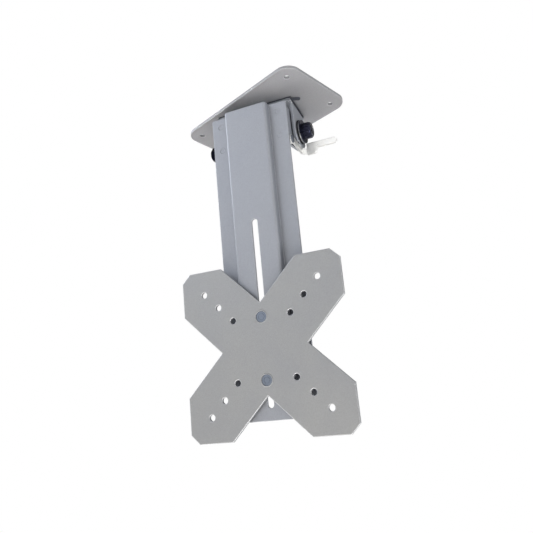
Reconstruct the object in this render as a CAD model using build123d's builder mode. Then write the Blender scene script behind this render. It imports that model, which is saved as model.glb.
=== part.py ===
# Ceiling mount for a flat screen: a plate on the ceiling, a bracket that swivels under it,
# a folded sheet arm that tilts and folds up on a cross bolt, and a cross-shaped screen plate
# that slides along the arm's slot. Millimetres. The origin is the middle of the ceiling
# plate's upper face, X runs along the plate's long side, and Z points up to the ceiling.
from math import cos, radians, sin, sqrt
import os

from build123d import *

# Pose of the moving parts as modelled. The carriage's lower stud stands above the slot's end
swivel_turn = 22.6
arm_lean = 7.3
carriage_rise = 21.5

# Clearances
running_gap = 0.1
bore_gap = 0.06
side_gap = 0.3
rim_gap = 0.3

# Edge finish of the sheet pieces and of small turned pieces
sheet_edge = 0.35
small_edge = 0.3

# Ceiling plate
plate_length = 142.0
plate_width = 80.0
plate_sheet = 3.0
plate_corner = 13.0
screw_hole = 5.0
screw_pitch_x = 117.0
screw_pitch_y = 57.0

# Swivel bolt and the washers on it
swivel_bolt_r = 4.0
swivel_head_r = 6.8
swivel_glide_sheet = 1.1
stop_horn_x = 41.8
stop_horn_back = 6.2
stop_horn_root = 3.5
stop_horn_root_back = 2.4
stop_horn_r = 1.6
swivel_washer_r = 11.0
swivel_washer_sheet = 1.6
swivel_spring_r = 10.0
disc_sheet = 1.0
disc_cone = 0.4
nut_flats = 13.0
nut_height = 6.0
nut_crown = 1.2
bolt_end = 1.6

# Swivel bracket
bracket_sheet = 2.5
bracket_inside = 68.0
bracket_bend = 1.0
pivot_drop = 26.0
pivot_forward = 2.6
ear_front = 18.0
ear_rear = 10.0
tongue_r = 14.5
base_front = 21.0
base_rear = 14.0
notch_width = 3.4
notch_depth = 1.4
notch_angle = 20.0
fold_angle = 90.0

# Pivot bolt and its stack
pivot_bolt_r = 4.0
friction_washer_r = 11.0
friction_washer_sheet = 1.5
pressure_washer_r = 10.4
pressure_washer_sheet = 0.8
disc_spring_r = 9.0
disc_count = 4
backing_washer_r = 8.5
backing_washer_sheet = 1.9
pivot_bolt_tail = 0.8
spacer_r = 6.0
knob_flange_r = 10.7
knob_flange_sheet = 1.2
knob_r = 7.5
knob_length = 8.0
knob_rim = 2.8
knob_neck_rim = 1.2
knob_flutes = 12
knob_flute_r = 1.5
knob_flute_reach = 8.5
knob_recess_r = 5.4
knob_recess = 1.2
insert_flats = 9.0
insert_length = 6.0
insert_proud = 0.8
pivot_bolt_inset = 0.8

# Arm: folded hat section
arm_sheet = 2.0
arm_width = 72.0
arm_length = 268.0
arm_above = 17.4
panel_reach = 40.2
panel_width = 40.0
hat_step = 7.8
hat_bend = 0.4
arm_corner = 1.2
slot_width = 5.5
slot_top = 86.0
slot_land = 9.6
weld_x = 27.8
weld_upper = 9.0
weld_lower = 14.0
weld_r = 2.4
weld_sink = 0.25

# Hinge channel behind the arm's upper end
channel_sheet = 2.0
channel_width = 66.0
channel_bend = 1.0
channel_below = 20.0
channel_web = 7.0
web_relief = 6.5
cheek_r = 16.0
bush_r = 5.5
bush_flange_r = 8.0
bush_flange_sheet = 0.9
bush_tail = 1.0

# Latch lever
latch_sheet = 2.0
latch_back = 25.6
latch_down = 16.8
latch_eye_r = 4.1
latch_leg_height = 5.2
latch_leg_low = 20.2
latch_leg_rise = 2.4
latch_bend = 3.5
latch_tab_y = 3.9
latch_tip_x = 68.2
latch_finger_height = 5.6
latch_finger_top = 10.7
latch_root_end = 52.0
latch_root_top = 10.3
latch_root_low = 21.4
latch_lobe_x = 47.6
latch_lobe_r = 2.0
tooth_width = 2.6
latch_shaft_r = 2.5
rivet_r = 3.4
rivet_head = 0.8
clip_r = 4.6
clip_sheet = 0.8
clip_opening = 3.2
spring_wire = 1.0
spring_turns = 5.5
spring_tail = 13.0
spring_hole_gap = 0.05

# Screen plate
screen_half = 70.0
screen_chamfer = 7.5
screen_notch_half = 33.2
screen_sheet = 2.5
screen_notch_fillet = 0.6
screen_hole = 5.2
small_pattern = 50.0
middle_pattern = 75.0
large_pattern = 100.0

# Slide studs, one above and one below the screen plate's middle
stud_spacing = 50.0
stud_r = 2.65
stud_head_r = 4.6
stud_head = 1.4
stud_sink = 0.25
glide_r = 9.0
front_glide_sheet = 1.3
rear_glide_sheet = 1.5
stud_washer_r = 8.0
stud_washer_sheet = 1.2
stud_nut_flats = 10.0
stud_nut_height = 5.0
stud_nut_crown = 1.0
stud_tail = 1.2

# Places worked out from the sizes
plate_low = -plate_sheet
base_top = plate_low - running_gap - swivel_glide_sheet
base_low = base_top - bracket_sheet
pivot_z = plate_low - pivot_drop
base_rise = base_low - pivot_z
ear_inside = bracket_inside / 2
ear_outside = ear_inside + bracket_sheet
swivel_washer_top = base_low - running_gap
swivel_spring_top = swivel_washer_top - swivel_washer_sheet
disc_height = disc_sheet + disc_cone
swivel_nut_top = swivel_spring_top - disc_height
swivel_bolt_low = swivel_nut_top - nut_height - nut_crown - bolt_end

cheek_outside = channel_width / 2
cheek_inside = cheek_outside - channel_sheet
panel_front = -panel_reach
panel_back = panel_front + arm_sheet
flange_front = panel_front + hat_step
flange_back = flange_front + arm_sheet
arm_top = arm_above
arm_low = arm_top - arm_length
slot_low = arm_low + slot_land
slot_length = -slot_top - slot_low
slot_middle = -slot_top - slot_length / 2
carriage_drop = -slot_low - carriage_rise - stud_spacing / 2

friction_out = ear_outside + friction_washer_sheet
pressure_out = friction_out + pressure_washer_sheet
knob_in = pressure_out + running_gap
knob_body_in = knob_in + knob_flange_sheet
knob_out = knob_body_in + knob_length
discs_out = pressure_out + disc_count * disc_height
backing_out = discs_out + backing_washer_sheet
pivot_nut_out = backing_out + nut_height + nut_crown
pivot_bolt_left = pivot_nut_out + pivot_bolt_tail
pivot_bolt_right = knob_out - knob_recess - pivot_bolt_inset

latch_in = ear_inside + side_gap
latch_out = latch_in + latch_sheet
latch_bend_x = latch_out + latch_bend
latch_leg_top = latch_leg_low - latch_leg_height
tooth_r = tongue_r + rim_gap
spring_pitch = spring_wire + running_gap
spring_length = spring_pitch * spring_turns
spring_coil_r = -flange_back - latch_back + spring_wire / 2 + running_gap
screen_back = panel_front - front_glide_sheet - running_gap
screen_front = screen_back - screen_sheet

# Reference frames: the bracket swivels about Z, the arm leans about the bracket's cross axis
turn = radians(swivel_turn)
lean = radians(arm_lean)
across = Vector(cos(turn), sin(turn), 0)
inward = Vector(-sin(turn), cos(turn), 0)
arm_up = Vector(0, 0, cos(lean)) - inward * sin(lean)
pivot_point = Vector(0, 0, pivot_z) - inward * pivot_forward
bracket_frame = Plane(origin=pivot_point, x_dir=across, z_dir=(0, 0, 1))
arm_frame = Plane(origin=pivot_point, x_dir=across, z_dir=arm_up)


def level(frame, height):
    """Plane across the frame at a height above the pivot: local axes are width and depth."""
    return frame.offset(height)


def side(frame, width):
    """Plane facing sideways at a width from the middle: local axes are depth and height."""
    return Plane(origin=frame.origin, x_dir=frame.y_dir, z_dir=frame.x_dir).offset(width)


def front(frame, depth):
    """Plane facing the viewer at a depth behind the pivot: local axes are width and height."""
    return Plane(origin=frame.origin, x_dir=frame.x_dir, z_dir=-frame.y_dir).offset(-depth)


def ring(plane, outer_r, inner_r, thickness):
    """Flat washer that grows from the plane along its normal."""
    with BuildSketch(plane) as flat:
        Circle(outer_r)
        Circle(inner_r, mode=Mode.SUBTRACT)
    extrude(flat.sketch, amount=thickness)


def rod(plane, radius, length):
    """Round bar that grows from the plane along its normal."""
    with BuildSketch(plane) as section:
        Circle(radius)
    extrude(section.sketch, amount=length)


def lock_nut(plane, flats, height, crown, bore_r):
    """Hexagon nut with a round crown that grips the thread."""
    with BuildSketch(plane) as hexagon:
        RegularPolygon(flats / 2, 6, major_radius=False)
        Circle(bore_r, mode=Mode.SUBTRACT)
    extrude(hexagon.sketch, amount=height)
    ring(plane.offset(height), flats / 2 - crown, bore_r, crown)


def cone_disc(plane, outer_r, inner_r, flip):
    """Dished spring disc that stands on the plane, with its hollow side down, or up if flipped."""
    outer_low = disc_cone if flip else 0
    inner_low = disc_cone - outer_low
    upright = Plane(origin=plane.origin, x_dir=plane.x_dir, z_dir=-plane.y_dir)
    with BuildSketch(upright) as section:
        with BuildLine():
            Polyline(
                (inner_r, inner_low),
                (outer_r, outer_low),
                (outer_r, outer_low + disc_sheet),
                (inner_r, inner_low + disc_sheet),
                close=True,
            )
        make_face()
    revolve(section.sketch, axis=Axis(plane.origin, plane.z_dir), revolution_arc=360)


os.makedirs("parts", exist_ok=True)

# Ceiling plate with four screw holes and a countersunk hole for the swivel bolt
with BuildPart() as ceiling_plate:
    with BuildSketch(Plane.XY.offset(plate_low)):
        RectangleRounded(plate_length, plate_width, plate_corner)
    extrude(amount=plate_sheet)
    outline = ceiling_plate.edges().filter_by(lambda edge: abs(edge.tangent_at(0.5).Z) < 0.5)
    fillet(outline, sheet_edge)
    with Locations(ceiling_plate.faces().sort_by(Axis.Z)[-1]):
        with GridLocations(screw_pitch_x, screw_pitch_y, 2, 2):
            Hole(screw_hole / 2)
        CounterSinkHole(swivel_bolt_r + bore_gap, swivel_head_r + bore_gap, counter_sink_angle=90)
ceiling_plate.part.label = "ceiling_plate"
export_step(ceiling_plate.part, "parts/ceiling_plate.step")

# Swivel bolt, its head flush with the plate's upper face
with BuildPart() as swivel_bolt:
    with BuildSketch(Plane.XZ):
        with BuildLine():
            Polyline(
                (0, 0),
                (swivel_head_r, 0),
                (swivel_bolt_r, swivel_bolt_r - swivel_head_r),
                (swivel_bolt_r, swivel_bolt_low),
                (0, swivel_bolt_low),
                close=True,
            )
        make_face()
    revolve(axis=Axis.Z, revolution_arc=360)
    chamfer(swivel_bolt.edges().sort_by(Axis.Z)[0], small_edge)
swivel_bolt.part.label = "swivel_bolt"
export_step(swivel_bolt.part, "parts/swivel_bolt.step")

# Slippery plate that lies on the bracket's base, with two stop horns at its front corners
with BuildPart() as swivel_glide:
    with BuildSketch(level(bracket_frame, base_rise + bracket_sheet)):
        with Locations((0, -base_front)):
            Rectangle(2 * ear_outside, base_front + base_rear, align=(Align.CENTER, Align.MIN))
        for hand in (-1, 1):
            with BuildSketch(mode=Mode.PRIVATE) as stop_horn:
                with Locations((hand * stop_horn_x, stop_horn_back - base_front)):
                    Circle(stop_horn_r)
                with Locations((hand * (ear_outside - stop_horn_root),
                                stop_horn_root_back - base_front)):
                    Circle(stop_horn_r)
                make_hull()
            add(stop_horn.sketch)
        with Locations((0, pivot_forward)):
            Circle(swivel_bolt_r + bore_gap, mode=Mode.SUBTRACT)
    extrude(amount=swivel_glide_sheet)
swivel_glide.part.label = "swivel_glide"
export_step(swivel_glide.part, "parts/swivel_glide.step")

with BuildPart() as swivel_washer:
    ring(Plane.XY.offset(swivel_spring_top), swivel_washer_r, swivel_bolt_r + bore_gap,
         swivel_washer_sheet)
swivel_washer.part.label = "swivel_washer"
export_step(swivel_washer.part, "parts/swivel_washer.step")

with BuildPart() as swivel_spring:
    cone_disc(Plane.XY.offset(swivel_nut_top), swivel_spring_r, swivel_bolt_r + bore_gap, True)
swivel_spring.part.label = "swivel_spring"
export_step(swivel_spring.part, "parts/swivel_spring.step")

with BuildPart() as swivel_nut:
    lock_nut(Plane(origin=(0, 0, swivel_nut_top), x_dir=across, z_dir=(0, 0, -1)),
             nut_flats, nut_height, nut_crown, swivel_bolt_r)
swivel_nut.part.label = "swivel_nut"
export_step(swivel_nut.part, "parts/swivel_nut.step")

# Swivel bracket: a base with two ears folded down
with BuildPart() as swivel_bracket:
    base_height = base_rise + bracket_sheet
    with BuildSketch(front(bracket_frame, base_rear)):
        with Locations((0, base_height)):
            Rectangle(2 * ear_outside, base_height + tongue_r, align=(Align.CENTER, Align.MAX))
            with Locations((0, -bracket_sheet)):
                Rectangle(bracket_inside, base_height + tongue_r, align=(Align.CENTER, Align.MAX),
                          mode=Mode.SUBTRACT)
    extrude(amount=base_front + base_rear)
    top_folds = swivel_bracket.edges().filter_by(lambda e: abs(e.tangent_at(0.5).dot(inward)) > 0.9)
    outer_folds = top_folds.group_by(Axis.Z)[-1]
    inner_folds = top_folds.group_by(Axis.Z)[-2]
    fillet(outer_folds, bracket_bend + bracket_sheet)
    fillet(inner_folds, bracket_bend)
    with BuildSketch(side(bracket_frame, -bracket_inside)):
        Circle(tongue_r)
        with Locations((-ear_front, base_rise)):
            Rectangle(ear_front + ear_rear, bracket_sheet, align=Align.MIN)
        make_hull()
        with Locations((-base_front, base_rise - bracket_bend)):
            Rectangle(base_front + base_rear, bracket_sheet + bracket_bend, align=Align.MIN)
    extrude(amount=2 * bracket_inside, mode=Mode.INTERSECT)
    # Notches in the rims that the latch drops into, hanging and folded up
    for rest_angle in (-notch_angle, fold_angle - notch_angle):
        with BuildSketch(side(bracket_frame, -bracket_inside)):
            with Locations((tongue_r * sin(radians(rest_angle)), -tongue_r * cos(radians(rest_angle)))):
                Rectangle(notch_width, 2 * notch_depth, rotation=rest_angle)
        extrude(amount=2 * bracket_inside, mode=Mode.SUBTRACT)
    with BuildSketch(side(bracket_frame, -bracket_inside)):
        Circle(pivot_bolt_r + bore_gap)
    extrude(amount=2 * bracket_inside, mode=Mode.SUBTRACT)
    with BuildSketch(level(bracket_frame, 0)):
        with Locations((0, pivot_forward)):
            Circle(swivel_bolt_r + bore_gap)
    extrude(amount=base_height, mode=Mode.SUBTRACT)
swivel_bracket.part.label = "swivel_bracket"
export_step(swivel_bracket.part, "parts/swivel_bracket.step")

# Cross bolt of the tilt joint, with the knob on its right end and a lock nut on its left
with BuildPart() as pivot_bolt:
    rod(side(bracket_frame, -pivot_bolt_left), pivot_bolt_r, pivot_bolt_left + pivot_bolt_right)
    chamfer(pivot_bolt.edges(), small_edge)
pivot_bolt.part.label = "pivot_bolt"
export_step(pivot_bolt.part, "parts/pivot_bolt.step")

with BuildPart() as pivot_spacer:
    spacer_half = cheek_inside - bush_tail - running_gap
    ring(side(bracket_frame, -spacer_half), spacer_r, pivot_bolt_r + bore_gap, 2 * spacer_half)
pivot_spacer.part.label = "pivot_spacer"
export_step(pivot_spacer.part, "parts/pivot_spacer.step")

with BuildPart() as friction_washer_right:
    ring(side(bracket_frame, ear_outside), friction_washer_r, pivot_bolt_r + bore_gap,
         friction_washer_sheet)
friction_washer_right.part.label = "friction_washer_right"
export_step(friction_washer_right.part, "parts/friction_washer_right.step")

with BuildPart() as friction_washer_left:
    ring(side(bracket_frame, -friction_out), friction_washer_r, pivot_bolt_r + bore_gap,
         friction_washer_sheet)
friction_washer_left.part.label = "friction_washer_left"
export_step(friction_washer_left.part, "parts/friction_washer_left.step")

with BuildPart() as pressure_washer_right:
    ring(side(bracket_frame, friction_out), pressure_washer_r, pivot_bolt_r + bore_gap,
         pressure_washer_sheet)
pressure_washer_right.part.label = "pressure_washer_right"
export_step(pressure_washer_right.part, "parts/pressure_washer_right.step")

with BuildPart() as pressure_washer_left:
    ring(side(bracket_frame, -pressure_out), pressure_washer_r, pivot_bolt_r + bore_gap,
         pressure_washer_sheet)
pressure_washer_left.part.label = "pressure_washer_left"
export_step(pressure_washer_left.part, "parts/pressure_washer_left.step")

# Stack of dished discs that keeps the tilt friction even
with BuildPart() as disc_springs:
    for disc in range(disc_count):
        disc_place = side(bracket_frame, -discs_out + disc * disc_height)
        cone_disc(disc_place, disc_spring_r, pivot_bolt_r + bore_gap, disc % 2 == 0)
disc_springs.part.label = "disc_springs"
export_step(disc_springs.part, "parts/disc_springs.step")

with BuildPart() as backing_washer:
    ring(side(bracket_frame, -backing_out), backing_washer_r, pivot_bolt_r + bore_gap,
         backing_washer_sheet)
backing_washer.part.label = "backing_washer"
export_step(backing_washer.part, "parts/backing_washer.step")

with BuildPart() as pivot_nut:
    lock_nut(Plane(origin=pivot_point - across * backing_out, x_dir=inward, z_dir=-across),
             nut_flats, nut_height, nut_crown, pivot_bolt_r)
pivot_nut.part.label = "pivot_nut"
export_step(pivot_nut.part, "parts/pivot_nut.step")

# Fluted knob that tightens the tilt joint, with a hexagonal metal insert
with BuildPart() as tilt_knob:
    with BuildSketch(side(bracket_frame, knob_body_in)):
        Circle(knob_r)
        with PolarLocations(knob_flute_reach, knob_flutes):
            Circle(knob_flute_r, mode=Mode.SUBTRACT)
        Circle(pivot_bolt_r + bore_gap, mode=Mode.SUBTRACT)
    extrude(amount=knob_length)
    with BuildSketch(level(bracket_frame, 0)) as rounded_end:
        with Locations((knob_body_in, 0)):
            Rectangle(knob_length, knob_r, align=Align.MIN)
        outer_corners = rounded_end.vertices().group_by(Axis.Y)[-1].sort_by(Axis.X)
        fillet(outer_corners[-1], knob_rim)
        fillet(outer_corners[0], knob_neck_rim)
    revolve(axis=Axis(pivot_point, across), revolution_arc=360, mode=Mode.INTERSECT)
    ring(side(bracket_frame, knob_in), knob_flange_r, pivot_bolt_r + bore_gap, knob_flange_sheet)
    with BuildSketch(side(bracket_frame, knob_out)):
        Circle(knob_recess_r)
    extrude(amount=-knob_recess, mode=Mode.SUBTRACT)
    with BuildSketch(side(bracket_frame, knob_out)):
        RegularPolygon(insert_flats / 2, 6, major_radius=False)
    extrude(amount=-knob_recess - insert_length + insert_proud, mode=Mode.SUBTRACT)
tilt_knob.part.label = "tilt_knob"
export_step(tilt_knob.part, "parts/tilt_knob.step")

with BuildPart() as knob_insert:
    insert_out = knob_out - knob_recess + insert_proud
    with BuildSketch(side(bracket_frame, insert_out - insert_length)):
        RegularPolygon(insert_flats / 2, 6, major_radius=False)
        Circle(pivot_bolt_r + bore_gap, mode=Mode.SUBTRACT)
    extrude(amount=insert_length)
knob_insert.part.label = "knob_insert"
export_step(knob_insert.part, "parts/knob_insert.step")

# Arm: sheet folded to a hat section, with the slide slot down its middle
with BuildPart() as arm_panel:
    with BuildSketch(level(arm_frame, arm_low)) as hat_section:
        half_panel = panel_width / 2
        with BuildLine() as hat_line:
            Polyline(
                (0, panel_front),
                (half_panel, panel_front),
                (half_panel, flange_front),
                (arm_width / 2, flange_front),
                (arm_width / 2, flange_back),
                (half_panel - arm_sheet, flange_back),
                (half_panel - arm_sheet, panel_back),
                (0, panel_back),
            )
            mirror(about=Plane.YZ)
        make_face()
        corners = hat_section.vertices().filter_by(lambda v: abs(v.X) < arm_width / 2 - 1)
        wide = corners.filter_by(lambda v: abs(abs(v.X) - half_panel) < 0.01)
        narrow = corners.filter_by(lambda v: abs(abs(v.X) - half_panel + arm_sheet) < 0.01)
        outside_bends = wide.sort_by(Axis.Y)[:2] + narrow.sort_by(Axis.Y)[-2:]
        inside_bends = wide.sort_by(Axis.Y)[-2:] + narrow.sort_by(Axis.Y)[:2]
        fillet(outside_bends, hat_bend + arm_sheet)
        fillet(inside_bends, hat_bend)
    extrude(amount=arm_length)
    # Rounded outer edges and clipped upper corners of the two flanges
    long_edges = arm_panel.edges().filter_by(lambda e: abs(e.tangent_at(0.5).dot(arm_up)) > 0.99)
    flange_edges = long_edges.sort_by(Axis(pivot_point, across))
    fillet(flange_edges[:2] + flange_edges[-2:], sheet_edge)
    with BuildSketch(front(arm_frame, flange_back)):
        for hand in (-1, 1):
            with BuildLine():
                Polyline(
                    (hand * arm_width / 2, arm_top),
                    (hand * (arm_width / 2 - arm_corner), arm_top),
                    (hand * arm_width / 2, arm_top - arm_corner),
                    close=True,
                )
            make_face()
    extrude(amount=arm_sheet, mode=Mode.SUBTRACT)
    with BuildSketch(front(arm_frame, panel_back)):
        with Locations((0, slot_middle)):
            SlotOverall(slot_length, slot_width, rotation=90)
    extrude(amount=arm_sheet, mode=Mode.SUBTRACT)
    # Shallow prints of the spot welds that hold the hinge channel
    with BuildSketch(front(arm_frame, flange_front + weld_sink)):
        for height in (weld_upper, -weld_lower):
            with Locations((-weld_x, height), (weld_x, height)):
                Circle(weld_r)
    extrude(amount=weld_sink, mode=Mode.SUBTRACT)
arm_panel.part.label = "arm_panel"
export_step(arm_panel.part, "parts/arm_panel.step")

# Hinge channel: a web welded behind the flanges and two cheeks that carry the pivot
with BuildPart() as hinge_channel:
    with BuildSketch(level(arm_frame, -channel_below)) as channel_section:
        channel_depth = cheek_r - flange_back
        with Locations((0, flange_back)):
            Rectangle(channel_width, channel_depth, align=(Align.CENTER, Align.MIN))
        corner_points = channel_section.vertices().sort_by(Axis.Y)[:2]
        fillet(corner_points, channel_bend + channel_sheet)
        with BuildSketch(mode=Mode.PRIVATE) as channel_hollow:
            with Locations((0, flange_back + channel_sheet)):
                Rectangle(2 * cheek_inside, channel_depth, align=(Align.CENTER, Align.MIN))
            fillet(channel_hollow.vertices().sort_by(Axis.Y)[:2], channel_bend)
        add(channel_hollow.sketch, mode=Mode.SUBTRACT)
    extrude(amount=channel_below + arm_top)
    with BuildSketch(side(arm_frame, -channel_width)):
        Circle(cheek_r)
        with Locations((flange_back, -channel_below)):
            Rectangle(channel_web, channel_below + arm_top, align=Align.MIN)
        make_hull()
    extrude(amount=2 * channel_width, mode=Mode.INTERSECT)
    with BuildSketch(side(arm_frame, -channel_width)):
        Circle(bush_r)
        with Locations((-latch_back, -latch_down)):
            Circle(latch_shaft_r + bore_gap)
    extrude(amount=2 * channel_width, mode=Mode.SUBTRACT)
    # Opening in the web's lower edge for the latch shaft's spring and clips
    with BuildSketch(front(arm_frame, flange_back + channel_web)):
        with Locations((0, -channel_below)):
            Rectangle(2 * cheek_inside, channel_below - latch_down + web_relief,
                      align=(Align.CENTER, Align.MIN))
    extrude(amount=channel_web, mode=Mode.SUBTRACT)
hinge_channel.part.label = "hinge_channel"
export_step(hinge_channel.part, "parts/hinge_channel.step")

# Flanged bushes that turn on the pivot bolt
with BuildPart() as pivot_bush_right:
    ring(side(arm_frame, cheek_inside - bush_tail), bush_r, pivot_bolt_r + bore_gap,
         bush_tail + channel_sheet)
    ring(side(arm_frame, cheek_outside), bush_flange_r, pivot_bolt_r + bore_gap, bush_flange_sheet)
pivot_bush_right.part.label = "pivot_bush_right"
export_step(pivot_bush_right.part, "parts/pivot_bush_right.step")

with BuildPart() as pivot_bush_left:
    ring(side(arm_frame, -cheek_outside), bush_r, pivot_bolt_r + bore_gap,
         bush_tail + channel_sheet)
    ring(side(arm_frame, -cheek_outside - bush_flange_sheet), bush_flange_r,
         pivot_bolt_r + bore_gap, bush_flange_sheet)
pivot_bush_left.part.label = "pivot_bush_left"
export_step(pivot_bush_left.part, "parts/pivot_bush_left.step")


def latch_leg(width):
    """Side leg of the latch in the plane of an ear, with its eye and the tooth on its back."""
    with BuildSketch(side(arm_frame, width)) as leg:
        with BuildLine():
            Polyline(
                (latch_tab_y - latch_bend, -latch_leg_low),
                (latch_tab_y - latch_bend, -latch_leg_top),
                (-latch_back, latch_leg_rise - latch_leg_top),
                (-latch_back, latch_leg_rise - latch_leg_low),
                close=True,
            )
        make_face()
        with Locations((-latch_back, -latch_down)):
            Circle(latch_eye_r)
        tooth_angle = radians(notch_angle)
        with Locations((-tooth_r * sin(tooth_angle), -tooth_r * cos(tooth_angle))):
            Rectangle(tooth_width, latch_leg_height / 2, rotation=-notch_angle,
                      align=(Align.CENTER, Align.MAX))
        Circle(tooth_r, mode=Mode.SUBTRACT)
        with Locations((-latch_back, -latch_down)):
            Circle(latch_shaft_r, mode=Mode.SUBTRACT)
    extrude(leg.sketch, amount=latch_sheet)


# Latch lever: the right leg, folded outwards behind the knob into a finger tab
with BuildPart() as latch_lever:
    latch_leg(latch_in)
    bend_y = latch_tab_y - latch_bend
    with BuildSketch(level(arm_frame, -latch_leg_low)):
        with Locations((latch_bend_x, bend_y)):
            Circle(latch_bend + latch_sheet)
            Circle(latch_bend, mode=Mode.SUBTRACT)
            Rectangle(2 * latch_bend_x, 2 * latch_bend_x, align=(Align.CENTER, Align.MAX),
                      mode=Mode.SUBTRACT)
            Rectangle(2 * latch_bend_x, 2 * latch_bend_x, align=(Align.MIN, Align.CENTER),
                      mode=Mode.SUBTRACT)
    extrude(amount=latch_leg_height)
    finger_low = latch_finger_top + latch_finger_height
    with BuildSketch(front(arm_frame, latch_tab_y + latch_sheet)) as tab_outline:
        with BuildLine():
            Polyline(
                (latch_bend_x, -latch_root_low),
                (latch_lobe_x, -latch_root_low),
                (latch_root_end - latch_lobe_r, -finger_low),
                (latch_root_end, -finger_low),
                (latch_root_end, -latch_finger_top),
                (latch_bend_x, -latch_root_top),
                close=True,
            )
        make_face()
        lobe_corner = tab_outline.vertices().group_by(Axis.X)[-3].sort_by(Axis.Y)[:1]
        fillet(lobe_corner, latch_lobe_r)
        with Locations((latch_root_end, -finger_low)):
            finger_length = latch_tip_x - latch_root_end - latch_finger_height / 2
            Rectangle(finger_length, latch_finger_height, align=Align.MIN)
        with Locations((latch_tip_x - latch_finger_height / 2, (-latch_finger_top - finger_low) / 2)):
            Circle(latch_finger_height / 2)
    extrude(amount=latch_sheet)
latch_lever.part.label = "latch_lever"
export_step(latch_lever.part, "parts/latch_lever.step")

# Left leg of the latch, carried round by the same shaft
with BuildPart() as latch_link:
    latch_leg(-latch_out)
latch_link.part.label = "latch_link"
export_step(latch_link.part, "parts/latch_link.step")

# Latch shaft, riveted over outside both legs
latch_axle_frame = Plane(
    origin=arm_frame.from_local_coords((0, -latch_back, -latch_down)),
    x_dir=across,
    z_dir=arm_up,
)
with BuildPart() as latch_shaft:
    rod(side(latch_axle_frame, -latch_out), latch_shaft_r, 2 * latch_out)
    rod(side(latch_axle_frame, latch_out), rivet_r, rivet_head)
    rod(side(latch_axle_frame, -latch_out - rivet_head), rivet_r, rivet_head)
    with BuildSketch(front(latch_axle_frame, latch_shaft_r)):
        with Locations((-spring_length / 2, 0)):
            Circle(spring_wire / 2 + spring_hole_gap)
    extrude(amount=2 * latch_shaft_r, mode=Mode.SUBTRACT)
latch_shaft.part.label = "latch_shaft"
export_step(latch_shaft.part, "parts/latch_shaft.step")

with BuildPart() as latch_spacers:
    spacer_gap = latch_in - cheek_outside - running_gap
    ring(side(latch_axle_frame, cheek_outside + running_gap), latch_eye_r,
         latch_shaft_r + bore_gap, spacer_gap)
    ring(side(latch_axle_frame, -latch_in), latch_eye_r, latch_shaft_r + bore_gap, spacer_gap)
latch_spacers.part.label = "latch_spacers"
export_step(latch_spacers.part, "parts/latch_spacers.step")

# Open clips that keep the shaft central between the cheeks
with BuildPart() as latch_clips:
    for clip_in in (cheek_inside - running_gap - clip_sheet, -cheek_inside + running_gap):
        with BuildSketch(side(latch_axle_frame, clip_in)):
            Circle(clip_r)
            Circle(latch_shaft_r + bore_gap, mode=Mode.SUBTRACT)
            Rectangle(clip_opening, clip_r, align=(Align.CENTER, Align.MIN), mode=Mode.SUBTRACT)
        extrude(amount=clip_sheet)
latch_clips.part.label = "latch_clips"
export_step(latch_clips.part, "parts/latch_clips.step")

# Wound spring that lifts the latch: its upper tail bears on the front of the web, and its
# other tail goes through the shaft. It is wound along Z and then set on the shaft
with BuildPart() as loose_spring:
    with BuildLine():
        coil = Helix(spring_pitch, spring_length, spring_coil_r, lefthand=True)
    with BuildSketch(Plane(origin=coil @ 0, z_dir=coil % 0)):
        Circle(spring_wire / 2)
    sweep(path=coil, is_frenet=True)
    rod(Plane(origin=coil @ 1, z_dir=(0, 1, 0)), spring_wire / 2, spring_tail)
    rod(Plane(origin=(spring_coil_r + spring_wire / 2, 0, 0), z_dir=(-1, 0, 0)), spring_wire / 2,
        spring_coil_r + spring_wire / 2 + latch_shaft_r)
with BuildPart() as latch_spring:
    coil_start = latch_axle_frame.origin - across * spring_length / 2
    with Locations(Plane(origin=coil_start, x_dir=arm_frame.y_dir, z_dir=across)):
        add(loose_spring.part)
latch_spring.part.label = "latch_spring"
export_step(latch_spring.part, "parts/latch_spring.step")

# Screen plate: a square with V-shaped cut-outs in its sides and three square hole patterns
with BuildPart() as screen_plate:
    with BuildSketch(front(arm_frame, screen_back)) as screen_outline:
        with Locations((0, -carriage_drop)):
            Rectangle(2 * screen_half, 2 * screen_half)
            chamfer(screen_outline.vertices(), screen_chamfer)
            with PolarLocations(screen_half, 4):
                Rectangle(screen_notch_half * sqrt(2), screen_notch_half * sqrt(2), rotation=45,
                          mode=Mode.SUBTRACT)
        plate_middle = Vector(0, -carriage_drop)
        tips = screen_outline.vertices().sort_by(lambda v: (Vector(v) - plate_middle).length)
        fillet(tips[:4], screen_notch_fillet)
        for pattern in (small_pattern, middle_pattern, large_pattern):
            with Locations((0, -carriage_drop)):
                with GridLocations(pattern, pattern, 2, 2):
                    Circle(screen_hole / 2, mode=Mode.SUBTRACT)
        with Locations((0, -carriage_drop)):
            with GridLocations(0, stud_spacing, 1, 2):
                Circle(stud_r, mode=Mode.SUBTRACT)
    extrude(amount=screen_sheet)
    with BuildSketch(front(arm_frame, screen_front)):
        with Locations((0, -carriage_drop)):
            with GridLocations(0, stud_spacing, 1, 2):
                Circle(stud_head_r + bore_gap)
    extrude(amount=-stud_head, mode=Mode.SUBTRACT)
screen_plate.part.label = "screen_plate"
export_step(screen_plate.part, "parts/screen_plate.step")

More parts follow.
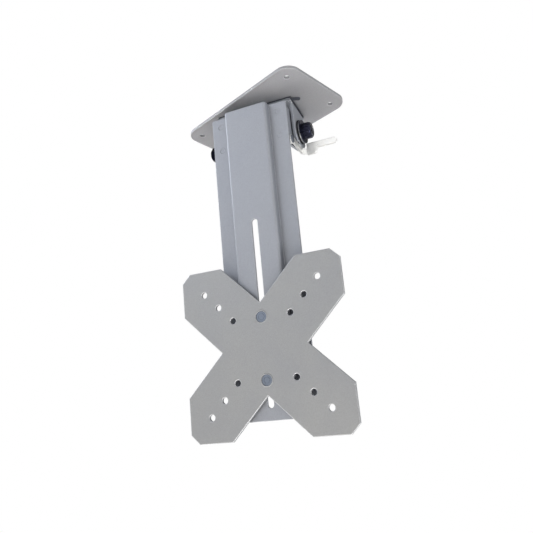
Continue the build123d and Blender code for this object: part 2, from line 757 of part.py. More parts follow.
# One stud with its glides, washer and nut above the plate's middle, and one below
stud_heights = {
    "upper": stud_spacing / 2 - carriage_drop,
    "lower": -stud_spacing / 2 - carriage_drop,
}
rear_glide_in = panel_back + running_gap
stud_washer_in = rear_glide_in + rear_glide_sheet
stud_nut_in = stud_washer_in + stud_washer_sheet
stud_end = stud_nut_in + stud_nut_height + stud_nut_crown + stud_tail
stud_face = screen_front + stud_sink
for place, stud_height in stud_heights.items():
    stud_frame = Plane(origin=pivot_point + arm_up * stud_height, x_dir=across, z_dir=arm_up)

    with BuildPart() as slide_stud:
        rod(front(stud_frame, screen_front + stud_head), stud_head_r, stud_head - stud_sink)
        rod(front(stud_frame, stud_end), stud_r, stud_end - screen_front - stud_head)
        stud_tip = slide_stud.edges().sort_by(Axis(pivot_point, inward))[-1]
        chamfer(stud_tip, small_edge)
    slide_stud.part.label = "slide_stud_" + place
    export_step(slide_stud.part, "parts/slide_stud_" + place + ".step")

    with BuildPart() as front_glide:
        ring(front(stud_frame, screen_back + front_glide_sheet), glide_r, stud_r + bore_gap,
             front_glide_sheet)
    front_glide.part.label = "front_glide_" + place
    export_step(front_glide.part, "parts/front_glide_" + place + ".step")

    with BuildPart() as rear_glide:
        ring(front(stud_frame, stud_washer_in), glide_r, stud_r + bore_gap, rear_glide_sheet)
    rear_glide.part.label = "rear_glide_" + place
    export_step(rear_glide.part, "parts/rear_glide_" + place + ".step")

    with BuildPart() as stud_washer:
        ring(front(stud_frame, stud_nut_in), stud_washer_r, stud_r + bore_gap, stud_washer_sheet)
    stud_washer.part.label = "stud_washer_" + place
    export_step(stud_washer.part, "parts/stud_washer_" + place + ".step")

    with BuildPart() as stud_nut:
        nut_seat = Plane(origin=front(stud_frame, stud_nut_in).origin, x_dir=across,
                         z_dir=arm_frame.y_dir)
        lock_nut(nut_seat, stud_nut_flats, stud_nut_height, stud_nut_crown, stud_r)
    stud_nut.part.label = "stud_nut_" + place
    export_step(stud_nut.part, "parts/stud_nut_" + place + ".step")
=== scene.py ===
"""Looks of a folding ceiling mount for a flat screen.

A rounded plate sits on the ceiling, a bracket swivels under it, a folded sheet arm tilts on a
cross bolt, and a cross-shaped screen plate slides along the arm's slot.
"""

import logging
import math
from dataclasses import dataclass, field
from enum import Enum
from typing import Iterable, Optional, Sequence

import bpy
from mathutils import Matrix, Vector


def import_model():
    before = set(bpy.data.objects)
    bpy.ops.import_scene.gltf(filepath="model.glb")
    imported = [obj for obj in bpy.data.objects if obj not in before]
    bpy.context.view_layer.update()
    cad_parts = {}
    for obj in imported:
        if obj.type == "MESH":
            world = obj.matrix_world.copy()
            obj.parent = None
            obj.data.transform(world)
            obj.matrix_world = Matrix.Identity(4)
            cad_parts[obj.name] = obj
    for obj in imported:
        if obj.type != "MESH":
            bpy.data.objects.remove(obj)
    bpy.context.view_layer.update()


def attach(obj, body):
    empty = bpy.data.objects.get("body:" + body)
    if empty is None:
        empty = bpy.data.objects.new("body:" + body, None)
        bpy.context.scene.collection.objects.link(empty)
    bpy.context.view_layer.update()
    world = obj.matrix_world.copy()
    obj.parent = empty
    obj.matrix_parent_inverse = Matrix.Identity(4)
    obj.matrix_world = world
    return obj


log = logging.getLogger("ceiling_mount")
logging.basicConfig(level=logging.INFO, format="%(message)s")

MM = 0.001
IMAGE_SIDE = 533.0


def linear(code: str) -> tuple[float, float, float, float]:
    """Turn an sRGB hex colour into the linear colour that a shader socket takes.

    Args:
        code: Six hex digits, with or without a leading hash.

    Returns:
        Linear red, green and blue, and an alpha of 1.
    """
    digits = code.lstrip("#")
    channels = (int(digits[i:i + 2], 16) / 255 for i in (0, 2, 4))
    red, green, blue = (c / 12.92 if c <= 0.04045 else ((c + 0.055) / 1.055) ** 2.4 for c in channels)
    return (red, green, blue, 1.0)


def add_node(tree: bpy.types.NodeTree, kind: str, settings: Optional[dict] = None,
             values: Optional[dict] = None, links: Optional[dict] = None) -> bpy.types.Node:
    """Add one node with its settings, socket values and incoming links.

    Args:
        tree: The node tree that gets the node.
        kind: The node's type name.
        settings: Attributes of the node itself.
        values: Input sockets, by name or number, with their constants.
        links: Input sockets, by name or number, with the output socket that feeds each.

    Returns:
        The new node.
    """
    node = tree.nodes.new(kind)
    for name, value in (settings or {}).items():
        setattr(node, name, value)
    for name, value in (values or {}).items():
        node.inputs[name].default_value = value
    for name, socket in (links or {}).items():
        tree.links.new(socket, node.inputs[name])
    return node


def start_material(name: str) -> tuple[bpy.types.Material, bpy.types.NodeTree, bpy.types.Node]:
    """Start a material that is made of nodes.

    Args:
        name: The finish's name.

    Returns:
        The material, its node tree and its shader.
    """
    material = bpy.data.materials.new(name)
    material.use_nodes = True
    return material, material.node_tree, material.node_tree.nodes["Principled BSDF"]


def grain(tree: bpy.types.NodeTree, size_mm: float, detail: float,
          roughness: float = 0.5) -> bpy.types.NodeSocket:
    """Add noise that stays with the piece when it moves.

    Args:
        tree: The material's node tree.
        size_mm: How wide its blotches are.
        detail: How many finer layers it has.
        roughness: How strong the finer layers are.

    Returns:
        The socket with the noise, around 0.5.
    """
    place = add_node(tree, "ShaderNodeTexCoord").outputs["Object"]
    noise = add_node(tree, "ShaderNodeTexNoise",
                     values={"Scale": 1 / (size_mm * MM), "Detail": detail, "Roughness": roughness},
                     links={"Vector": place})
    return noise.outputs["Fac"]


def stretched(tree: bpy.types.NodeTree, value: bpy.types.NodeSocket, low: float, high: float,
              start: float = 0.0, end: float = 1.0) -> bpy.types.NodeSocket:
    """Map one range of a value onto another, held at both ends.

    Args:
        tree: The node tree.
        value: The socket with the value.
        low: What the start becomes.
        high: What the end becomes.
        start: The value that becomes low.
        end: The value that becomes high.

    Returns:
        The socket with the mapped value.
    """
    mapped = add_node(tree, "ShaderNodeMapRange",
                      values={"From Min": start, "From Max": end, "To Min": low, "To Max": high},
                      links={"Value": value})
    return mapped.outputs[0]


def relief(tree: bpy.types.NodeTree, height: bpy.types.NodeSocket, strength: float, depth_mm: float,
           normal: Optional[bpy.types.NodeSocket] = None) -> None:
    """Raise a relief too fine for geometry on the material's shader.

    Args:
        tree: The material's node tree.
        height: The socket with the relief's height, from 0 to 1.
        strength: How much of it is used.
        depth_mm: How deep it is.
        normal: The normal that it is laid on, if it isn't the plain one.
    """
    links = {"Height": height}
    if normal is not None:
        links["Normal"] = normal
    bump = add_node(tree, "ShaderNodeBump", values={"Strength": strength, "Distance": depth_mm * MM},
                    links=links)
    tree.links.new(bump.outputs[0], tree.nodes["Principled BSDF"].inputs["Normal"])


def moved(x_mm: float, y_mm: float, z_mm: float) -> Matrix:
    """Matrix of a shift that is given in millimetres."""
    return Matrix.Translation((x_mm * MM, y_mm * MM, z_mm * MM))


class Part(Enum):
    """The moving bodies that a piece can ride on."""

    CEILING = "ceiling"
    BRACKET = "bracket"
    KNOB = "knob"
    ARM = "arm"
    LATCH = "latch"
    CARRIAGE = "carriage"


class Slot(Enum):
    """The record's material slots, which the added pieces are given as a field."""

    POWDER_COAT = "silver_powder_coat"
    BLACK_STEEL = "black_steel"
    ZINC = "bright_zinc_steel"


@dataclass(frozen=True)
class Pose:
    """Where the folded arm hangs, from which every local place is worked out."""

    swivel_turn: float = math.radians(22.6)
    arm_lean: float = math.radians(7.3)
    pivot_drop: float = 29.0
    pivot_forward: float = 2.6

    def bracket(self) -> Matrix:
        """Metres in the bracket's own axes, from the pivot, to metres in the row frame."""
        turned = Matrix.Rotation(self.swivel_turn, 4, "Z")
        return turned @ moved(0, -self.pivot_forward, -self.pivot_drop)

    def arm(self) -> Matrix:
        """Metres in the arm's own axes, from the pivot, to metres in the row frame."""
        return self.bracket() @ Matrix.Rotation(self.arm_lean, 4, "X")

    def arm_face(self, depth_mm: float, height_mm: float = 0.0) -> Matrix:
        """Place a flat frame across the arm: its x runs to the right, its y up and its z forwards.

        Args:
            depth_mm: How far behind the pivot it lies.
            height_mm: How far above the pivot its origin lies.

        Returns:
            Metres in the flat frame to metres in the row frame.
        """
        return self.arm() @ moved(0, depth_mm, height_mm) @ Matrix.Rotation(math.radians(90), 4, "X")


POSE = Pose()


@dataclass(frozen=True)
class PowderCoat:
    """Silver polyester powder coat, sprayed and baked on folded steel sheet.

    The powder melts into a fine orange peel with metal flakes in it, which gives the eye a soft
    satin grey that sparkles very slightly. Its sharp edges are painted a paler tone as a painted
    highlight, strongest where they face the floor and its light, and its corners and crevices are
    darkened by ambient occlusion as painted shade.
    """

    name: str = "powder_coat_silver"
    tone: str = "979BA4"
    light_tone: str = "A2A5AC"
    metallic: float = 0.3
    satin: float = 0.39
    dull: float = 0.5
    cloud_mm: float = 30.0
    flake_mm: float = 0.7  # real flakes are under 0.1 mm, too fine to show
    flake_contrast: float = 0.13
    peel_mm: float = 1.1
    peel_strength: float = 0.25
    peel_depth_mm: float = 0.15
    # edge_mm rounds the edges' shading normal; the other edge values set a painted highlight along edges,
    # stronger where they face the floor.
    edge_mm: float = 1.1
    edge_highlight_tone: str = "E4E7EC"
    edge_highlight_share: float = 0.4
    edge_start: float = 0.99
    edge_full: float = 0.8
    low_edge_highlight_gain: float = 2.4
    low_edge_start: float = 0.1
    low_edge_full: float = 0.45
    # The corner values set painted shade: ambient occlusion darkens corners, crevices and hole walls.
    corner_mm: float = 4.5
    corner_shade: float = 0.35
    corner_full: float = 0.15
    corner_end: float = 0.75

    def material(self) -> bpy.types.Material:
        """Build the powder coat.

        Returns:
            The material.
        """
        material, tree, shader = start_material(self.name)
        clouds = grain(tree, self.cloud_mm, 3.0)
        edge = add_node(tree, "ShaderNodeBevel", {"samples": 8}, {"Radius": self.edge_mm * MM}).outputs[0]
        # The pale edge tone mixed in here is a painted highlight.
        highlighted = add_node(tree, "ShaderNodeMix", {"data_type": "RGBA"}, {7: linear(self.edge_highlight_tone)},
                          {0: self.painted_edge_highlight(tree, edge), 6: self.flaked_and_shaded(tree, clouds)})
        tree.links.new(highlighted.outputs[2], shader.inputs["Base Color"])
        tree.links.new(stretched(tree, clouds, self.satin, self.dull), shader.inputs["Roughness"])
        relief(tree, grain(tree, self.peel_mm, 2.0), self.peel_strength, self.peel_depth_mm, edge)
        shader.inputs["Metallic"].default_value = self.metallic
        return material

    def flaked_and_shaded(self, tree: bpy.types.NodeTree, clouds: bpy.types.NodeSocket) -> bpy.types.NodeSocket:
        """Cloud the grey, strew flakes in it and darken it in the corners with ambient occlusion, as painted
        shade.

        Args:
            tree: The material's node tree.
            clouds: Where the coat is lighter.

        Returns:
            The socket with the colour.
        """
        flakes = grain(tree, self.flake_mm, 3.0, 0.8)
        sparkle = stretched(tree, flakes, 1 - self.flake_contrast, 1 + self.flake_contrast, 0.3, 0.7)
        # Painted shade: ambient occlusion darkens the colour in corners, crevices and hole walls.
        corner = add_node(tree, "ShaderNodeAmbientOcclusion", {"samples": 6},
                          {"Distance": self.corner_mm * MM})
        painted_corner_shade = stretched(tree, corner.outputs["AO"], self.corner_shade, 1.0, self.corner_full, self.corner_end)
        tint = add_node(tree, "ShaderNodeMix", {"data_type": "RGBA"},
                        {6: linear(self.tone), 7: linear(self.light_tone)}, {0: clouds})
        shade = add_node(tree, "ShaderNodeMath", {"operation": "MULTIPLY"}, links={0: sparkle, 1: painted_corner_shade})
        colour = add_node(tree, "ShaderNodeMix", {"data_type": "RGBA", "blend_type": "MULTIPLY"}, {0: 1.0},
                          {6: tint.outputs[2], 7: shade.outputs[0]})
        return colour.outputs[2]

    def painted_edge_highlight(self, tree: bpy.types.NodeTree, edge: bpy.types.NodeSocket) -> bpy.types.NodeSocket:
        """Find where the edges get a painted highlight, and more of it where they face down toward the floor's
        light.

        Args:
            tree: The material's node tree.
            edge: The normal as if each edge were round.

        Returns:
            The socket with the painted highlight's share.
        """
        straight = add_node(tree, "ShaderNodeNewGeometry").outputs["Normal"]
        rounding = add_node(tree, "ShaderNodeVectorMath", {"operation": "DOT_PRODUCT"},
                            links={0: edge, 1: straight})
        # Painted highlight: the pale tone's share along edges, raised where they face down toward the floor's
        # light.
        painted_edge_highlight = stretched(tree, rounding.outputs["Value"], 0.0, self.edge_highlight_share, self.edge_start, self.edge_full)
        downward = add_node(tree, "ShaderNodeVectorMath", {"operation": "DOT_PRODUCT"}, {1: (0.0, 0.0, -1.0)},
                            {0: edge})
        gain = stretched(tree, downward.outputs["Value"], 1.0, self.low_edge_highlight_gain,
                         self.low_edge_start, self.low_edge_full)
        share = add_node(tree, "ShaderNodeMath", {"operation": "MULTIPLY", "use_clamp": True},
                         links={0: painted_edge_highlight, 1: gain})
        return share.outputs[0]


@dataclass(frozen=True)
class PlatedSteel:
    """Steel with a bright or dark plated skin, as on bolts, nuts and stamped levers.

    Plating follows the tumbled or drawn steel, so the eye sees a clear shine broken by fine
    scuffs, with a faint cloudiness.
    """

    name: str
    tone: str
    roughness: float
    metallic: float = 1.0
    scuff_mm: float = 1.4
    scuff_strength: float = 0.08
    scuff_depth_mm: float = 0.1
    scuff_dark: float = 0.88
    scuff_bright: float = 1.08
    scuff_smooth: float = 0.75
    scuff_rough: float = 1.3
    edge_mm: float = 0.3
    sheen: str = "FFFFFF"

    def material(self) -> bpy.types.Material:
        """Build the plated steel.

        Returns:
            The material.
        """
        material, tree, shader = start_material(self.name)
        scuffs = grain(tree, self.scuff_mm, 4.0, 0.6)
        colour = add_node(tree, "ShaderNodeMix", {"data_type": "RGBA", "blend_type": "MULTIPLY"},
                          {0: 1.0, 6: linear(self.tone)},
                          {7: stretched(tree, scuffs, self.scuff_dark, self.scuff_bright)})
        tree.links.new(colour.outputs[2], shader.inputs["Base Color"])
        rough = stretched(tree, scuffs, self.roughness * self.scuff_smooth, self.roughness * self.scuff_rough)
        tree.links.new(rough, shader.inputs["Roughness"])
        edge = add_node(tree, "ShaderNodeBevel", {"samples": 6}, {"Radius": self.edge_mm * MM}).outputs[0]
        relief(tree, scuffs, self.scuff_strength, self.scuff_depth_mm, edge)
        shader.inputs["Metallic"].default_value = self.metallic
        shader.inputs["Specular Tint"].default_value = linear(self.sheen)
        return material


@dataclass(frozen=True)
class MouldedNylon:
    """Black moulded nylon with a fine spark-eroded grain.

    The grain keeps the black from looking wet: the eye sees a soft sheen on the edges.
    """

    name: str
    tone: str
    roughness: float
    grain_mm: float = 0.5
    grain_strength: float = 0.2
    grain_depth_mm: float = 0.1
    grain_dark: float = 0.8
    grain_bright: float = 1.25
    sheen: str = "FFFFFF"

    def material(self) -> bpy.types.Material:
        """Build the nylon.

        Returns:
            The material.
        """
        material, tree, shader = start_material(self.name)
        sparks = grain(tree, self.grain_mm, 2.0)
        colour = add_node(tree, "ShaderNodeMix", {"data_type": "RGBA", "blend_type": "MULTIPLY"},
                          {0: 1.0, 6: linear(self.tone)},
                          {7: stretched(tree, sparks, self.grain_dark, self.grain_bright)})
        tree.links.new(colour.outputs[2], shader.inputs["Base Color"])
        relief(tree, sparks, self.grain_strength, self.grain_depth_mm)
        shader.inputs["Roughness"].default_value = self.roughness
        shader.inputs["Specular Tint"].default_value = linear(self.sheen)
        return material


def dress(material: bpy.types.Material, names: Iterable[str]) -> None:
    """Give CAD nodes a finish.

    Args:
        material: The finish.
        names: The nodes that take it.
    """
    for name in names:
        node = bpy.data.objects[name]
        node.data.materials.clear()
        node.data.materials.append(material)
        log.info("dressed %s in %s", name, material.name)


class NodeShape:
    """A Geometry Nodes tree with named sizes, turned into a plain mesh that rides on a body."""

    def __init__(self, name: str, sizes: dict[str, float], finish: bpy.types.Material) -> None:
        """Start the tree with its inputs.

        Args:
            name: The finished piece's name.
            sizes: Each input's name and value, lengths in metres.
            finish: The material that the tree sets.
        """
        self.name = name
        self.sizes = sizes
        self.finish = finish
        self.tree = bpy.data.node_groups.new(f"{name}_tree", "GeometryNodeTree")
        self.tree.interface.new_socket("Geometry", in_out="INPUT", socket_type="NodeSocketGeometry")
        self.identifiers = {
            size: self.tree.interface.new_socket(size, in_out="INPUT",
                                                 socket_type="NodeSocketFloat").identifier
            for size in sizes
        }
        self.tree.interface.new_socket("Geometry", in_out="OUTPUT", socket_type="NodeSocketGeometry")
        self.inputs = add_node(self.tree, "NodeGroupInput").outputs

    def ride(self, shape: bpy.types.NodeSocket, part: Part, place: Matrix,
             points: Sequence[tuple[float, float, float]] = ()) -> None:
        """End the tree, evaluate it once and put the mesh on a body.

        Args:
            shape: The output socket that holds the finished geometry.
            part: The body that carries the piece.
            place: Metres in the tree's own axes to metres in the row frame.
            points: The vertices that the tree starts from, in metres.
        """
        solid = add_node(self.tree, "GeometryNodeRealizeInstances", links={"Geometry": shape})
        painted = add_node(self.tree, "GeometryNodeSetMaterial", values={"Material": self.finish},
                           links={"Geometry": solid.outputs[0]})
        add_node(self.tree, "NodeGroupOutput", links={0: painted.outputs[0]})
        seed = bpy.data.meshes.new(f"{self.name}_points")
        seed.from_pydata(list(points), [], [])
        holder = bpy.data.objects.new(f"{self.name}_holder", seed)
        modifier = holder.modifiers.new(self.name, "NODES")
        modifier.node_group = self.tree
        for size, value in self.sizes.items():
            modifier[self.identifiers[size]] = value
        bpy.context.scene.collection.objects.link(holder)
        evaluated = holder.evaluated_get(bpy.context.evaluated_depsgraph_get())
        mesh = bpy.data.meshes.new_from_object(evaluated)
        holder.modifiers.remove(modifier)
        bpy.data.objects.remove(holder)
        mesh.transform(place)
        piece = bpy.data.objects.new(self.name, mesh)
        bpy.context.scene.collection.objects.link(piece)
        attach(piece, part.value)
        log.info("built %s with %d faces", self.name, len(mesh.polygons))


@dataclass(frozen=True)
class Thread:
    """A rolled thread on the free end of a bolt.

    The bolt is rolled between grooved dies, so one ridge winds along it and the eye sees fine
    slanting lines.
    """

    name: str
    part: Part
    slot: Slot
    finish: bpy.types.Material
    place: Matrix
    radius_mm: float
    length_mm: float
    pitch_mm: float = 1.25
    ridge_mm: float = 0.32
    turn_points: int = 40
    ridge_points: int = 6

    def build(self) -> None:
        """Wind the ridge from the bolt's end."""
        shape = NodeShape(self.name, {
            "Radius": self.radius_mm * MM,
            "Length": self.length_mm * MM,
            "Turns": self.length_mm / self.pitch_mm,
            "Ridge": self.ridge_mm * MM,
        }, self.finish)
        spiral = add_node(shape.tree, "GeometryNodeCurveSpiral", values={"Resolution": self.turn_points},
                          links={"Rotations": shape.inputs["Turns"], "Start Radius": shape.inputs["Radius"],
                                 "End Radius": shape.inputs["Radius"], "Height": shape.inputs["Length"]})
        section = add_node(shape.tree, "GeometryNodeCurvePrimitiveCircle",
                           values={"Resolution": self.ridge_points},
                           links={"Radius": shape.inputs["Ridge"]})
        ridge = add_node(shape.tree, "GeometryNodeCurveToMesh", values={"Fill Caps": True},
                         links={"Curve": spiral.outputs[0], "Profile Curve": section.outputs[0]})
        shape.ride(ridge.outputs[0], self.part, self.place)


@dataclass(frozen=True)
class Beads:
    """Low round beads, one round each of several points on a flat face."""

    name: str
    part: Part
    slot: Slot
    finish: bpy.types.Material
    place: Matrix
    centres_mm: Sequence[tuple[float, float]]
    radius_mm: float
    bead_mm: float
    ring_points: int = 48
    bead_points: int = 12

    def build(self) -> None:
        """Lay one bead round each centre."""
        shape = NodeShape(self.name, {"Radius": self.radius_mm * MM, "Bead": self.bead_mm * MM}, self.finish)
        path = add_node(shape.tree, "GeometryNodeCurvePrimitiveCircle",
                        values={"Resolution": self.ring_points}, links={"Radius": shape.inputs["Radius"]})
        section = add_node(shape.tree, "GeometryNodeCurvePrimitiveCircle",
                           values={"Resolution": self.bead_points}, links={"Radius": shape.inputs["Bead"]})
        bead = add_node(shape.tree, "GeometryNodeCurveToMesh",
                        links={"Curve": path.outputs[0], "Profile Curve": section.outputs[0]})
        copies = add_node(shape.tree, "GeometryNodeInstanceOnPoints",
                          links={"Points": shape.inputs["Geometry"], "Instance": bead.outputs[0]})
        points = [(x * MM, y * MM, 0.0) for x, y in self.centres_mm]
        shape.ride(copies.outputs[0], self.part, self.place, points)


@dataclass
class CeilingPlate:
    """The plate on the ceiling with the swivel bolt through its middle."""

    coat: bpy.types.Material
    bolt_steel: bpy.types.Material
    zinc: bpy.types.Material
    nylon: bpy.types.Material
    bolt_low: float = -18.5
    bolt_r: float = 4.0
    thread_length: float = 2.4

    def build(self) -> None:
        """Dress the plate, the bolt and its washers, and thread the bolt."""
        dress(self.coat, ["ceiling_plate"])
        dress(self.bolt_steel, ["swivel_bolt", "swivel_spring"])
        dress(self.zinc, ["swivel_nut", "swivel_washer"])
        dress(self.nylon, ["swivel_glide"])
        Thread("swivel_bolt_thread", Part.CEILING, Slot.BLACK_STEEL, self.bolt_steel,
               moved(0, 0, self.bolt_low), self.bolt_r, self.thread_length).build()


@dataclass
class TiltJoint:
    """The swivel bracket's ears with the cross bolt, its washers, the knob and the nut."""

    coat: bpy.types.Material
    bolt_steel: bpy.types.Material
    zinc: bpy.types.Material
    nylon: bpy.types.Material
    fibre: bpy.types.Material
    bolt_left: float = 54.0
    bolt_r: float = 4.0
    thread_length: float = 2.5

    def build(self) -> None:
        """Dress the bracket and what the cross bolt carries, and thread the bolt."""
        dress(self.coat, ["swivel_bracket"])
        dress(self.bolt_steel, ["pivot_bolt", "pivot_nut", "disc_springs"])
        dress(self.zinc, ["pressure_washer_right", "pressure_washer_left", "knob_insert",
                          "backing_washer", "pivot_spacer"])
        dress(self.fibre, ["friction_washer_right", "friction_washer_left"])
        dress(self.nylon, ["tilt_knob"])
        bolt_end = POSE.bracket() @ moved(-self.bolt_left, 0, 0) @ Matrix.Rotation(math.radians(90), 4, "Y")
        Thread("pivot_bolt_thread", Part.BRACKET, Slot.BLACK_STEEL, self.bolt_steel, bolt_end,
               self.bolt_r, self.thread_length).build()


@dataclass
class Arm:
    """The folded hat-section arm with its hinge channel and bushes."""

    coat: bpy.types.Material
    nylon: bpy.types.Material
    flange_face: float = -32.4
    weld_x: float = 27.8
    weld_heights: tuple[float, float] = (9.0, -14.0)
    weld_ring: float = 2.7
    weld_bead: float = 0.6
    weld_sink: float = 0.48

    def build(self) -> None:
        """Dress the arm and raise the weld rings on its flanges."""
        dress(self.coat, ["arm_panel", "hinge_channel"])
        dress(self.nylon, ["pivot_bush_right", "pivot_bush_left"])
        welds = [(side * self.weld_x, height) for side in (-1, 1) for height in self.weld_heights]
        Beads("weld_rings", Part.ARM, Slot.POWDER_COAT, self.coat,
              POSE.arm_face(self.flange_face + self.weld_sink), welds, self.weld_ring, self.weld_bead).build()


@dataclass
class Latch:
    """The stamped latch lever with its shaft, spring and clips."""

    lever_steel: bpy.types.Material
    bolt_steel: bpy.types.Material
    zinc: bpy.types.Material

    def build(self) -> None:
        """Dress the latch."""
        dress(self.lever_steel, ["latch_lever", "latch_link"])
        dress(self.zinc, ["latch_shaft", "latch_spacers", "latch_spring"])
        dress(self.bolt_steel, ["latch_clips"])


@dataclass
class Carriage:
    """The cross-shaped screen plate on its two slide studs."""

    coat: bpy.types.Material
    zinc: bpy.types.Material
    nylon: bpy.types.Material
    stud_heights: dict[str, float] = field(default_factory=lambda: {"upper": -169.5, "lower": -219.5})
    plate_face: float = -44.1
    head_face: float = -43.85
    rim_ring: float = 4.9
    rim_bead: float = 0.4
    mark_ring: float = 2.5
    mark_bead: float = 0.22
    stud_r: float = 2.65
    stud_end: float = -28.3
    thread_length: float = 2.0
    thread_pitch: float = 0.9
    thread_ridge: float = 0.24

    def build(self) -> None:
        """Dress the screen plate and its slide hardware, with rims, head marks and threads."""
        dress(self.coat, ["screen_plate"])
        studs = [(0.0, height) for height in self.stud_heights.values()]
        Beads("stud_hole_rims", Part.CARRIAGE, Slot.POWDER_COAT, self.coat,
              POSE.arm_face(self.plate_face), studs, self.rim_ring, self.rim_bead).build()
        Beads("stud_head_marks", Part.CARRIAGE, Slot.ZINC, self.zinc,
              POSE.arm_face(self.head_face), studs, self.mark_ring, self.mark_bead).build()
        for place, height in self.stud_heights.items():
            Thread(f"slide_stud_thread_{place}", Part.CARRIAGE, Slot.ZINC, self.zinc,
                   POSE.arm_face(self.stud_end, height), self.stud_r, self.thread_length,
                   self.thread_pitch, self.thread_ridge).build()
            dress(self.zinc, [f"slide_stud_{place}", f"stud_washer_{place}", f"stud_nut_{place}"])
            dress(self.nylon, [f"front_glide_{place}", f"rear_glide_{place}"])


@dataclass(frozen=True)
class Lamp:
    """One soft square lamp, with places and its side in metres and its spread in degrees."""

    name: str
    place: tuple[float, float, float]
    target: tuple[float, float, float]
    side: float
    watts: float
    colour: str
    spread: float = 180.0

    def hang(self) -> None:
        """Add the lamp and point it at its target."""
        data = bpy.data.lights.new(self.name, "AREA")
        data.spread = math.radians(self.spread)
        data.size = self.side
        data.energy = self.watts
        data.color = linear(self.colour)[:3]
        lamp = bpy.data.objects.new(self.name, data)
        lamp.location = self.place
        lamp.rotation_euler = (Vector(self.target) - Vector(self.place)).to_track_quat("-Z", "Y").to_euler()
        bpy.context.scene.collection.objects.link(lamp)


@dataclass
class Studio:
    """Plain pale floor, white surroundings, soft lamps and the camera."""

    floor_side: float = 6.0
    floor_drop: float = 1.3
    floor_tone: str = "F4F4F4"
    floor_roughness: float = 0.9
    plate_middle: tuple[float, float, float] = (0.0, 0.0, 0.0)
    plate_left: tuple[float, float, float] = (-0.01, -0.02, 0.0)
    plate_right: tuple[float, float, float] = (0.03, 0.0, -0.01)
    arm_middle: tuple[float, float, float] = (0.0, 0.0, -0.14)
    screen_middle: tuple[float, float, float] = (0.0, -0.05, -0.3)
    camera_place: tuple[float, float, float] = (0.328569, -0.328911, -0.322247)
    camera_right: tuple[float, float, float] = (0.690779, 0.721920, -0.040679)
    camera_down: tuple[float, float, float] = (-0.275258, 0.210528, -0.938036)
    focal_pixels: float = 570.677
    sensor: float = 36.0
    bright_side: tuple[float, float, float] = (0.15, -0.38, -0.91)
    fill_dark: float = 0.1
    fill_bright: float = 0.8
    mirror_dark: float = 0.12
    mirror_bright: float = 1.05
    mirror_start: float = -0.85
    mirror_end: float = -0.42

    def build(self) -> None:
        """Make the floor, the surroundings, the lamps and the camera."""
        self.floor()
        self.surroundings()
        self.lamps()
        self.camera()

    def floor(self) -> None:
        """Lay a pale floor well under the mount."""
        mesh = bpy.data.meshes.new("floor")
        half = self.floor_side / 2
        corners = [(x * half, y * half, -self.floor_drop) for x, y in ((-1, -1), (1, -1), (1, 1), (-1, 1))]
        mesh.from_pydata(corners, [], [(0, 1, 2, 3)])
        floor = bpy.data.objects.new("floor", mesh)
        bpy.context.scene.collection.objects.link(floor)
        material, _, shader = start_material("floor_paint")
        shader.inputs["Base Color"].default_value = linear(self.floor_tone)
        shader.inputs["Roughness"].default_value = self.floor_roughness
        mesh.materials.append(material)
        log.info("laid the floor")

    def surroundings(self) -> None:
        """Make the surroundings white to the camera, and as light brighter in front and below.

        The mount hangs from a ceiling, so little light comes from above and behind it.
        """
        world = bpy.data.worlds.new("studio")
        bpy.context.scene.world = world
        world.use_nodes = True
        tree = world.node_tree
        background = tree.nodes["Background"]
        background.inputs["Color"].default_value = (1, 1, 1, 1)
        path = add_node(tree, "ShaderNodeLightPath")
        direction = add_node(tree, "ShaderNodeTexCoord").outputs["Generated"]
        facing = add_node(tree, "ShaderNodeVectorMath", {"operation": "DOT_PRODUCT"}, {1: self.bright_side},
                          {0: direction})
        fill = add_node(tree, "ShaderNodeMapRange", {"interpolation_type": "SMOOTHSTEP"},
                        {"From Min": -1.0, "From Max": 1.0,
                         "To Min": self.fill_dark, "To Max": self.fill_bright},
                        {"Value": facing.outputs["Value"]})
        mirror = add_node(tree, "ShaderNodeMapRange", {"interpolation_type": "SMOOTHSTEP"},
                          {"From Min": self.mirror_start, "From Max": self.mirror_end,
                           "To Min": self.mirror_dark, "To Max": self.mirror_bright},
                          {"Value": facing.outputs["Value"]})
        soft = add_node(tree, "ShaderNodeMix", {"data_type": "FLOAT"},
                        links={0: path.outputs["Is Glossy Ray"], 2: fill.outputs[0], 3: mirror.outputs[0]})
        seen = add_node(tree, "ShaderNodeMath", {"operation": "MAXIMUM"},
                        links={0: path.outputs["Is Camera Ray"], 1: path.outputs["Is Transmission Ray"]})
        strength = add_node(tree, "ShaderNodeMix", {"data_type": "FLOAT"}, {3: 1.0},
                            {0: seen.outputs[0], 2: soft.outputs[0]})
        tree.links.new(strength.outputs[0], background.inputs["Strength"])
        log.info("set the surroundings")

    def lamps(self) -> None:
        """Hang the lamps in front, beside and below the mount.

        The floor wash lights the floor, which lights the ceiling plate's underside, and the two
        narrow lamps reach little more than the plate and the bracket's ear.
        """
        lamps = (
            Lamp("key_lamp", (-0.3, -1.0, 0.35), self.plate_middle, 0.7, 2.3, "E6EFFF"),
            Lamp("low_lamp", (0.15, -0.55, -0.75), self.screen_middle, 0.4, 1.3, "FFF3E2"),
            Lamp("left_lamp", (-1.05, -0.45, 0.5), self.arm_middle, 0.35, 4.5, "EEF3FF"),
            Lamp("floor_lamp", (0.35, -0.15, -1.25), self.plate_middle, 0.7, 4.5, "FFFDF8"),
            Lamp("floor_lamp_left", (-0.5, -0.4, -1.2), self.plate_middle, 0.5, 3.0, "FFFDF8"),
            Lamp("floor_wash", (0.0, 0.0, -0.9), (0.0, 0.0, -self.floor_drop), 3.0, 17.0, "FFFDFA"),
            Lamp("plate_lamp", (-0.8, -0.4, -1.1), self.plate_left, 0.15, 0.02, "FFFFFF", 8.0),
            Lamp("right_lamp", (1.1, 0.1, -0.6), self.plate_right, 0.4, 0.2, "FFFFFF", 30.0),
        )
        for lamp in lamps:
            lamp.hang()
        log.info("hung the lamps")

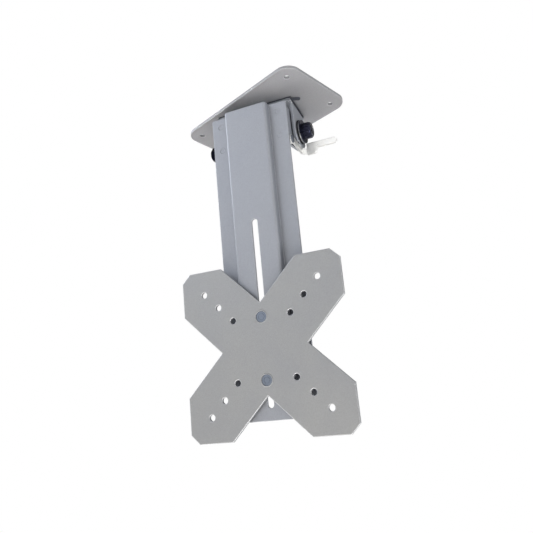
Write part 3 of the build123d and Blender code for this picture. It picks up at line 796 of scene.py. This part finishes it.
    def camera(self) -> None:
        """Stand the camera where the photograph was taken."""
        data = bpy.data.cameras.new("camera")
        data.sensor_width = self.sensor
        data.lens = self.focal_pixels / IMAGE_SIDE * self.sensor
        data.clip_start = 0.01
        camera = bpy.data.objects.new("camera", data)
        right = Vector(self.camera_right)
        up = -Vector(self.camera_down)
        back = right.cross(up)
        turn = Matrix((right, up, back)).transposed().to_4x4()
        camera.matrix_world = Matrix.Translation(self.camera_place) @ turn
        bpy.context.scene.collection.objects.link(camera)
        bpy.context.scene.camera = camera
        log.info("stood the camera")


def main() -> None:
    """Build every sub-assembly in order, and the studio around them."""
    scene = bpy.context.scene
    scene.view_settings.view_transform = "Standard"
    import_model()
    coat = PowderCoat().material()
    ceiling_coat = PowderCoat("powder_coat_ceiling_plate", "9FA0A5", "A9A9AC").material()
    # The screen plate's edges get a wider and stronger painted highlight.
    screen_coat = PowderCoat("powder_coat_screen_plate", "989A9F", "A3A4A4", edge_mm=1.5,
                             edge_highlight_share=0.6).material()
    zinc = PlatedSteel("zinc_plate_bright", "C9CBCE", 0.28).material()
    stud_zinc = PlatedSteel("zinc_plate_blue", "7B8390", 0.4, edge_mm=1.2).material()
    lever_steel = PlatedSteel("zinc_plate_stamped", "FAFAF8", 0.3, 0.75, scuff_mm=4.0, edge_mm=0.7).material()
    bolt_steel = PlatedSteel("black_oxide", "0A0B14", 0.35, 0.6, sheen="7078B0").material()
    nylon = MouldedNylon("moulded_nylon_black", "04060E", 0.22, sheen="C6CAFF").material()
    glide_nylon = MouldedNylon("moulded_nylon_dark_grey", "44474F", 0.6).material()
    shaft_steel = PlatedSteel("zinc_plate_dull", "777C86", 0.5).material()
    fibre = MouldedNylon("friction_fibre_black", "0D0D14", 0.7).material()
    CeilingPlate(ceiling_coat, bolt_steel, zinc, glide_nylon).build()
    TiltJoint(coat, bolt_steel, zinc, nylon, fibre).build()
    Arm(coat, nylon).build()
    Latch(lever_steel, bolt_steel, shaft_steel).build()
    Carriage(screen_coat, stud_zinc, nylon).build()
    Studio().build()


if __name__ == "__main__":
    main()
